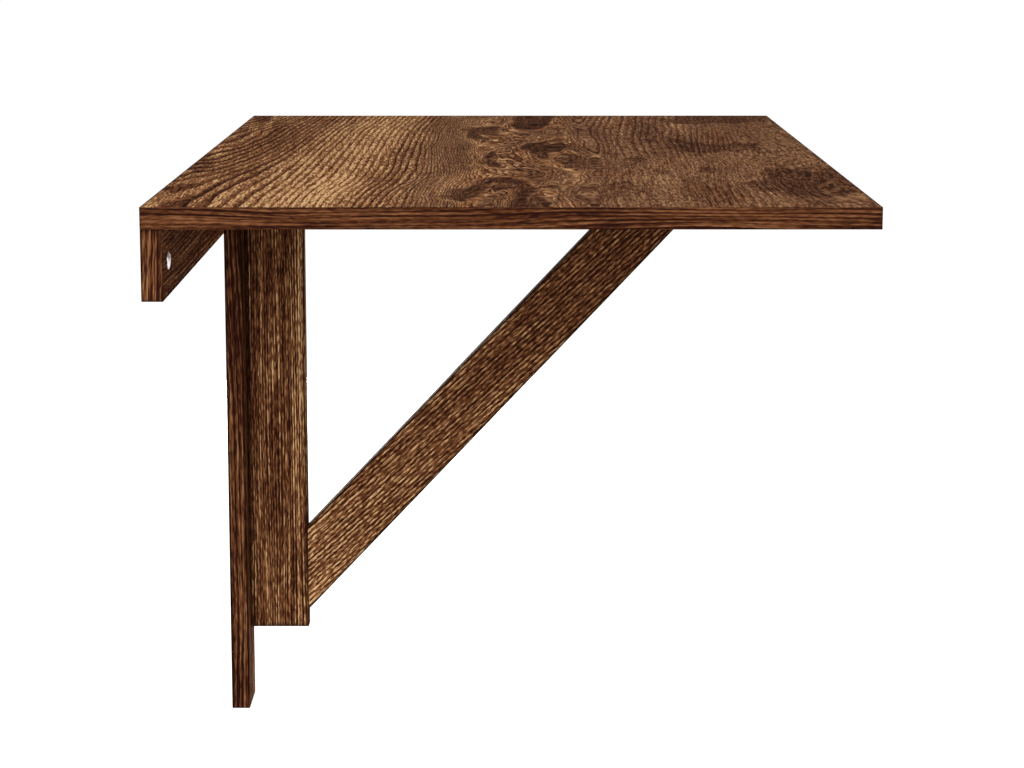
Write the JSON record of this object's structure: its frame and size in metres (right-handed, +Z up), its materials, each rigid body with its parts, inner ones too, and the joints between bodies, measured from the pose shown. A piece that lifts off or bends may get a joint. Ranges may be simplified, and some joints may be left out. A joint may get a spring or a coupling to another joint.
{
  "type": "wall mounted drop leaf table",
  "caption": "Wall table: a rectangular wooden leaf hinged to a wall batten, carried by a triangular bracket that swings out from an upright post and folds flat to the wall.",
  "frame": {"origin": "middle of the batten's wall face, at half its length and half its height", "axes": "+X out from the wall, +Y along the wall, +Z up"},
  "size_m": [0.6, 1, 0.56],
  "materials": {
    "dark_oak_board": "satin smoked oak foil on engineered board",
    "edge_band": "satin oak grain edge strip",
    "zinc_steel": "zinc plated steel",
    "nickel_plate": "satin nickel plate",
    "beech_dowel": "raw beech",
    "black_rubber": "matte rubber"
  },
  "bodies": {
    "wall_frame": {"tabletop": "dark_oak_board", "edge_band_near": "edge_band", "edge_band_far": "edge_band", "edge_band_front": "edge_band", "edge_band_back": "edge_band", "wall_batten": "dark_oak_board", "wall_post": "dark_oak_board", "wall_washers": "nickel_plate", "post_screws": "zinc_steel", "upper_hinge_post_flap": "zinc_steel", "upper_hinge_pin": "zinc_steel", "lower_hinge_post_flap": "zinc_steel", "lower_hinge_pin": "zinc_steel", "bracket_hinge_post_screws": "zinc_steel", "near_leaf_hinge_arm": "zinc_steel", "near_leaf_hinge_flap": "zinc_steel", "near_leaf_hinge_pin": "zinc_steel", "far_leaf_hinge_arm": "zinc_steel", "far_leaf_hinge_flap": "zinc_steel", "far_leaf_hinge_pin": "zinc_steel", "leaf_hinge_arm_screws": "zinc_steel", "leaf_hinge_flap_screws": "zinc_steel", "stop_block": "dark_oak_board", "stop_screws": "zinc_steel"},
    "bracket": {"bracket_stile": "dark_oak_board", "bracket_strut": "dark_oak_board", "bracket_rail": "dark_oak_board", "bracket_dowels": "beech_dowel", "upper_hinge_stile_flap": "zinc_steel", "lower_hinge_stile_flap": "zinc_steel", "bracket_hinge_stile_screws": "zinc_steel", "head_buffer": "black_rubber", "head_buffer_screw": "zinc_steel"}
  },
  "joints": [
    {"name": "bracket_swing", "type": "hinge", "parent": "wall_frame", "child": "bracket", "pos_m": [0.0387, 0.0117, 0], "axis": [0, 0, 1], "range_deg": [0, 90]}
  ]
}
